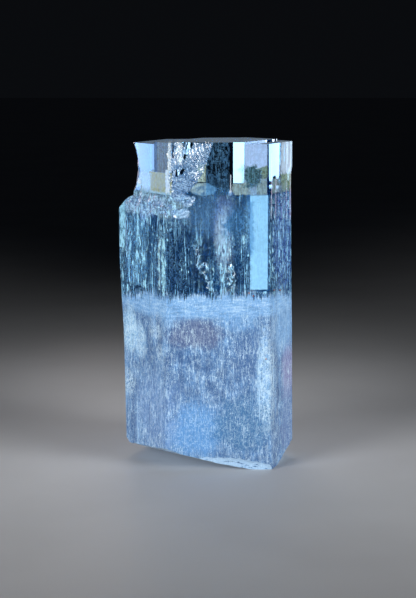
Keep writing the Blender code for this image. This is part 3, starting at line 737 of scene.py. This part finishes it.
def cutGrooves(piece, settings):
    cutRows(piece, settings)
    shareGrooves(piece, settings)
    helper = placeHelper("growthLineHelper", (0, 0, 0), settings["grooveCell"])
    pressIn(piece, "grooved", cloudTexture("growthLines", 3, settings["grooveContrast"]),
            helper, settings["grooveDepth"])
    print("growth lines pressed in")


def roughenBreaks(piece, settings):
    # finer facets and ripples on every broken face
    pickOnly(piece)
    selectFaces(piece, lambda face: isBroken(face, piece.data.vertices, settings))
    bpy.ops.object.mode_set(mode="EDIT")
    bpy.ops.mesh.subdivide(number_cuts=settings["hackleCuts"])
    bpy.ops.object.mode_set(mode="OBJECT")
    markBroken(piece, settings)
    for name, ripple in settings["ripples"].items():
        group = piece.vertex_groups.new(name=name)
        broken = piece.data.attributes["brokenFace"].data
        struck = Vector(ripple["struck"]) * mm
        for corner in piece.data.vertices:
            away = (corner.co - struck).length / mm
            if broken[corner.index].value > 0.5 and away < ripple["reach"]:
                fade = min(1.0, (ripple["reach"] - away) / settings["rippleFade"])
                group.add([corner.index], fade, "REPLACE")
        rings = bpy.data.textures.new(name, "WOOD")
        rings.wood_type = "RINGNOISE"
        rings.noise_basis_2 = "SIN"
        rings.noise_scale = settings["rippleScale"]
        rings.turbulence = settings["rippleSway"]
        cell = ripple["pitch"] * 20 / (2 * math.pi)       # the pattern has 20 rings in 2 pi cells
        helper = placeHelper(name + "Helper", ripple["struck"], (cell, cell, cell))
        pressIn(piece, name, rings, helper, ripple["depth"])
    helper = placeHelper("splinterHelper", (0, 0, 0), settings["hackleCell"])
    pressIn(piece, "broken", cloudTexture("splinters", 2), helper, settings["hackleDepth"])
    print("broken faces roughened")


def makeCrystal(settings):
    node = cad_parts[settings["node"]]
    piece = bpy.data.objects.new("berylCrystal", node.data.copy())
    bpy.context.scene.collection.objects.link(piece)
    selectAllOf(piece)
    bpy.ops.mesh.remove_doubles(threshold=settings["mergeWithin"] * mm)
    bpy.ops.mesh.dissolve_limited(angle_limit=math.radians(settings["flatAngle"]))
    bpy.ops.object.mode_set(mode="OBJECT")
    bpy.ops.mesh.customdata_custom_splitnormals_clear()
    cutGrooves(piece, settings)
    roughenBreaks(piece, settings)
    bpy.ops.object.shade_smooth_by_angle(angle=math.radians(settings["smoothAngle"]))
    dress(piece, makeBeryl(beryl))
    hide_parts(settings["node"])
    print("crystal:", len(piece.data.polygons), "faces")


makeCrystal(crystalSettings)

coreSettings = {
    "inset": 1.3,                     # from the prism faces
    "block": 40.0,                    # what it is cut from
    "foot": 9.0,
    "top": (31.6, 27.6),              # height of its upper face at these distances from the
    "topReach": 10.0,                 # middle, in front and behind
    "wisps": ((1.6, 1.6, 3.0), 4.0, 0.6),
    "colour": (0.60, 0.76, 0.92),
    "shade": 0.35,
    "glow": 0.20,
}


def makeCore(settings):
    # the cloudy heart, seen from above through the clear end
    bpy.ops.object.select_all(action="DESELECT")
    block, reach, (front, back) = settings["block"], settings["topReach"], settings["top"]
    bpy.ops.mesh.primitive_cube_add(size=block * mm,
                                    location=(0, 0, (settings["foot"] + block / 2) * mm))
    core = bpy.context.object
    core.name = "milkyCore"
    bpy.ops.object.transform_apply(location=True, rotation=False, scale=False)
    bpy.ops.object.mode_set(mode="EDIT")
    for turn, wall in zip(crystalSettings["faceTurns"], crystalSettings["faceWalls"]):
        cutAlong(outward(turn) * (wall - settings["inset"]) * mm, outward(turn),
                 clear_outer=True, use_fill=True)
    cutAlong(Vector((0, -reach, front)) * mm, Vector((0, (front - back) / (2 * reach), 1)),
             clear_outer=True, use_fill=True)
    bpy.ops.mesh.select_all(action="SELECT")
    bpy.ops.mesh.normals_make_consistent(inside=False)
    bpy.ops.object.mode_set(mode="OBJECT")
    g = Graph("cloudyHeart")
    pale = settings["colour"]
    deep = [part * settings["shade"] for part in pale]
    tint = g.blend(deep, pale, g.grain(*settings["wisps"]).ramp(0.35, 0.65))
    dress(core, g.finish(g.shine({"Base Color": tint, "Roughness": 1.0, "Specular IOR Level": 0.0,
                                  "Emission Color": tint, "Emission Strength": settings["glow"]})))
    print("milky core:", len(core.data.polygons), "faces")


makeCore(coreSettings)


def plainMaterial(name, colour, roughness, metallic, glow):
    g = Graph(name)
    return g.finish(g.shine({"Base Color": rgb(*colour), "Roughness": roughness,
                             "Metallic": metallic, "Emission Color": rgb(*colour),
                             "Emission Strength": glow}))


def copyPiece(piece, name):
    twin = piece.copy()
    twin.data = piece.data.copy()
    twin.name = name
    bpy.context.scene.collection.objects.link(twin)
    return twin


def joinPieces(pieces, name):
    # one piece at the origin with every place in its mesh
    bpy.ops.object.select_all(action="DESELECT")
    for piece in pieces:
        piece.select_set(True)
    bpy.context.view_layer.objects.active = pieces[0]
    bpy.ops.object.join()
    joined = bpy.context.object
    joined.name = name
    bpy.ops.object.transform_apply(location=True, rotation=True, scale=True)
    return joined


tubeSettings = {
    "count": 110,
    "sides": 6,
    "tip": 0.35,                      # how wide the upper end is beside the lower one
    "radius": (0.014, 0.036),
    "length": (1.2, 9.0),
    "heights": (33.0, 49.0),
    "ledge": (-9.0, 46.0),            # left of this x, none above this height
    "inset": 0.7,
    "field": (16, 12),
    # this share stands in rows behind the front face: their x, and how far they spread
    "frontShare": 0.65,
    "frontRows": (-12.5, -10.5, -6.0, -3.0, -1.0, 6.0),
    "rowSpread": 1.3,
    "rowDepth": 2.4,
    "seed": 17,
    "colour": (0.62, 0.84, 1.0),
    "roughness": 0.35,
    "glow": 0.04,
}


def makeTubes(settings):
    draw = random.Random(settings["seed"])
    bpy.ops.object.select_all(action="DESELECT")
    bpy.ops.mesh.primitive_cylinder_add(vertices=settings["sides"], radius=mm, depth=2 * mm)
    first = bpy.context.object
    selectFaces(first, lambda face: face.normal.z > 0.9)
    bpy.ops.object.mode_set(mode="EDIT")
    bpy.ops.transform.resize(value=(settings["tip"], settings["tip"], 1.0))
    bpy.ops.object.mode_set(mode="OBJECT")
    wide, deep = settings["field"]
    lowest, highest = settings["heights"]
    ledgeSide, ledgeTop = settings["ledge"]
    tubes = []
    while len(tubes) < settings["count"]:
        place = Vector((draw.uniform(-wide, wide), draw.uniform(-deep, deep), 0))
        if draw.random() < settings["frontShare"]:
            place.y = -deep + abs(draw.gauss(0, settings["rowDepth"]))
            place.x = draw.choice(settings["frontRows"]) + draw.gauss(0, settings["rowSpread"])
        isInside = all(place.dot(outward(turn)) < wall - settings["inset"] for turn, wall
                       in zip(crystalSettings["faceTurns"], crystalSettings["faceWalls"]))
        length = draw.uniform(*settings["length"])
        low = draw.uniform(lowest, highest - length)
        if not isInside or place.x < ledgeSide and low + length > ledgeTop:
            continue
        radius = draw.uniform(*settings["radius"])
        tube = copyPiece(first, "growthTube")
        tube.location = (place.x * mm, place.y * mm, (low + length / 2) * mm)
        tube.scale = (radius, radius, length / 2)
        tubes.append(tube)
    bpy.data.objects.remove(first)
    piece = joinPieces(tubes, "growthTubes")
    dress(piece, plainMaterial("paleGrowthTubes", settings["colour"], settings["roughness"], 0.0,
                               settings["glow"]))
    print("growth tubes:", len(tubes))


makeTubes(tubeSettings)

flakeSettings = {
    "sides": 5,
    "thickness": 0.12,                # this and the widths are shares of a flake's size
    "widths": (0.15, 0.4),
    "size": (0.10, 0.34),
    "leans": ((1.3, 0.4), (0, 0.5)),  # about X and Y: the middle and the spread, in radians
    "turns": (-0.9, 0.9),
    "seed": 29,
    "warmShare": 0.22,
    "colours": {"coolFlakes": (0.48, 0.80, 1.0), "warmFlakes": (0.84, 0.92, 0.94)},
    "roughness": 0.25,
    "metallic": 0.6,
    "glow": 0.60,
    # each swarm: points along it (x, z), how far it spreads, how many, depth behind the front
    "swarms": {
        "zigzagCrack": {"path": ((-2.3, 41.4), (-1.2, 38.9), (-1.7, 37.6), (-0.1, 35.6),
                                 (0.3, 34.2), (1.0, 33.1)),
                        "spread": 0.15, "count": 90, "depth": (0.3, 1.4)},
        "crackBranch": {"path": ((-1.4, 37.4), (-0.2, 38.2), (0.5, 36.6)),
                        "spread": 0.2, "count": 26, "depth": (0.4, 1.4)},
        "sparkleKnot": {"path": ((4.0, 37.6), (4.9, 36.0), (4.3, 34.4), (5.2, 33.2)),
                        "spread": 0.42, "count": 90, "depth": (0.3, 1.8)},
        "columnGlints": {"path": ((3.0, 47.6), (3.3, 42.0), (3.6, 37.0)),
                         "spread": 0.5, "count": 40, "depth": (0.5, 2.5)},
    },
}


def pathPoint(path, share):
    # the point this share of the way along, with every stretch counted the same
    step = share * (len(path) - 1)
    start, end = path[int(step)], path[int(step) + 1]
    return [a + (b - a) * (step - int(step)) for a, b in zip(start, end)]


def makeFlakes(settings):
    # little tilted mirrors of cracked crystal, in swarms behind the front face
    draw = random.Random(settings["seed"])
    bpy.ops.object.select_all(action="DESELECT")
    bpy.ops.mesh.primitive_circle_add(vertices=settings["sides"], radius=mm, fill_type="NGON")
    first = bpy.context.object
    selectAllOf(first)
    bpy.ops.mesh.extrude_region_move(
        TRANSFORM_OT_translate={"value": (0, 0, settings["thickness"] * mm)})
    bpy.ops.object.mode_set(mode="OBJECT")
    front, wall = math.radians(crystalSettings["faceTurns"][0]), crystalSettings["faceWalls"][0]
    leanX, leanY = settings["leans"]
    flakes = {name: [] for name in settings["colours"]}
    for swarm in settings["swarms"].values():
        for number in range(swarm["count"]):
            x, z = [part + draw.gauss(0, swarm["spread"])
                    for part in pathPoint(swarm["path"], number / swarm["count"])]
            y = (wall - x * math.cos(front)) / math.sin(front) + draw.uniform(*swarm["depth"])
            kind = "warmFlakes" if draw.random() < settings["warmShare"] else "coolFlakes"
            flake = copyPiece(first, "crackFlake")
            flake.location = Vector((x, y, z)) * mm
            flake.rotation_euler = (draw.gauss(*leanX), draw.gauss(*leanY),
                                    draw.uniform(*settings["turns"]))
            size = draw.uniform(*settings["size"])
            flake.scale = (size * draw.uniform(*settings["widths"]), size, size)
            flakes[kind].append(flake)
    bpy.data.objects.remove(first)
    for kind, pieces in flakes.items():
        piece = joinPieces(pieces, kind)
        selectAllOf(piece)
        bpy.ops.mesh.normals_make_consistent(inside=False)
        bpy.ops.object.mode_set(mode="OBJECT")
        dress(piece, plainMaterial(kind + "Shine", settings["colours"][kind], settings["roughness"],
                                   settings["metallic"], settings["glow"]))
        print(kind + ":", len(pieces))


makeFlakes(flakeSettings)

speckSettings = {
    "radius": 0.13,
    "rounds": 2,
    "places": ((7.64, -10.43, 32.73), (10.76, -10.16, 20.67), (12.19, -8.25, 32.93),
               (13.41, -5.64, 32.51), (15.17, -1.87, 22.33), (8.4, -10.36, 32.2)),
    "colour": (0.36, 0.11, 0.035),
    "roughness": 0.6,
}


def makeSpecks(settings):
    specks = []
    for place in settings["places"]:
        bpy.ops.object.select_all(action="DESELECT")
        bpy.ops.mesh.primitive_ico_sphere_add(
            subdivisions=settings["rounds"], radius=settings["radius"] * mm,
            location=Vector(place) * mm)
        specks.append(bpy.context.object)
    piece = joinPieces(specks, "rustSpecks")
    dress(piece, plainMaterial("rustBrown", settings["colour"], settings["roughness"], 0.0, 0.0))
    print("rust specks:", len(specks))


makeSpecks(speckSettings)

studio = {
    "world": (0.003, 0.0035, 0.0045),
    "floorColour": (0.60, 0.61, 0.63),
    "floorShade": 0.94,
    "floorMottle": ((45.0, 45.0, 45.0), 4.0),
    "floorRoughness": 0.55,
    "floorSize": 6000.0,
    # softboxes: bearing, height and distance of the middle, size, radiance, beam, and where it
    # differs from the rest the height that it aims at and its tint
    "softboxes": {
        "keyLeft": {"bearing": 221, "rise": 72, "away": 220, "wide": 130, "tall": 110,
                    "glow": 19.6, "beam": 48},
        "fillRight": {"bearing": -34, "rise": 72, "away": 220, "wide": 125, "tall": 110,
                      "glow": 22.0, "beam": 48},
        "overhead": {"bearing": 95, "rise": 170, "away": 110, "wide": 120, "tall": 60,
                     "glow": 4.0, "beam": 70},
        "lowLeft": {"bearing": 212, "rise": 21, "away": 190, "wide": 84, "tall": 42,
                    "glow": 2.4, "beam": 60, "aim": 20},
        "crownLeft": {"bearing": 135, "rise": 95, "away": 220, "wide": 60, "tall": 122,
                      "glow": 4.4, "beam": 60, "aim": 90, "tint": (1.0, 0.81, 0.88)},
        "crownRight": {"bearing": 48, "rise": 86, "away": 210, "wide": 50, "tall": 122,
                       "glow": 1.7, "beam": 60, "aim": 86, "tint": (0.84, 0.76, 1.0)},
        "backFacet": {"bearing": 101, "rise": 93, "away": 200, "wide": 30, "tall": 122,
                      "glow": 3.9, "beam": 60, "aim": 93, "tint": (1.0, 0.86, 0.85)},
        "topSheen": {"bearing": 90, "rise": 86, "away": 220, "wide": 220, "tall": 46,
                     "glow": 0.24, "beam": 60, "aim": 86, "tint": (0.62, 0.82, 1.0)},
    },
    "aimHeight": 30.0,
}


def makeFloor(settings):
    bpy.ops.object.select_all(action="DESELECT")
    bpy.ops.mesh.primitive_plane_add(size=settings["floorSize"] * mm)
    floor = bpy.context.object
    floor.name = "studioFloor"
    g = Graph("paleFloor")
    pale = settings["floorColour"]
    shaded = [part * settings["floorShade"] for part in pale]
    tint = g.blend(pale, shaded, g.grain(*settings["floorMottle"]).ramp(0.4, 0.6))
    floor.data.materials.append(g.finish(g.shine({"Base Color": tint,
                                                  "Roughness": settings["floorRoughness"]})))


def beamShare(beam):
    # how much of a bare softbox's light is left when a grid narrows it to this beam
    half = math.radians(beam) / 2
    return math.sin(half) ** 2 - (half - math.sin(2 * half) / 2) / math.tan(half)


def makeSoftbox(name, box, aimHeight):
    angle = math.radians(box["bearing"])
    away = box["away"]
    place = Vector((math.cos(angle) * away, math.sin(angle) * away, box["rise"])) * mm
    data = bpy.data.lights.new(name, "AREA")
    data.shape = "RECTANGLE"
    data.size = box["wide"] * mm
    data.size_y = box["tall"] * mm
    data.energy = box["glow"] * beamShare(box["beam"]) * math.pi * data.size * data.size_y
    data.color = box.get("tint", (1.0, 1.0, 1.0))
    data.spread = math.radians(box["beam"])
    light = bpy.data.objects.new(name, data)
    light.location = place
    aim = Vector((0, 0, box.get("aim", aimHeight) * mm)) - place
    light.rotation_euler = aim.to_track_quat("-Z", "Y").to_euler()
    light.visible_camera = False
    bpy.context.scene.collection.objects.link(light)


def makeStudio(settings):
    makeFloor(settings)
    for name, box in settings["softboxes"].items():
        makeSoftbox(name, box, settings["aimHeight"])
    world = bpy.data.worlds.new("dimRoom")
    world.use_nodes = True
    backdrop = world.node_tree.nodes["Background"]
    backdrop.inputs["Color"].default_value = rgb(*settings["world"])
    bpy.context.scene.world = world
    bpy.context.scene.view_settings.view_transform = "Standard"
    print("studio ready")


makeStudio(studio)
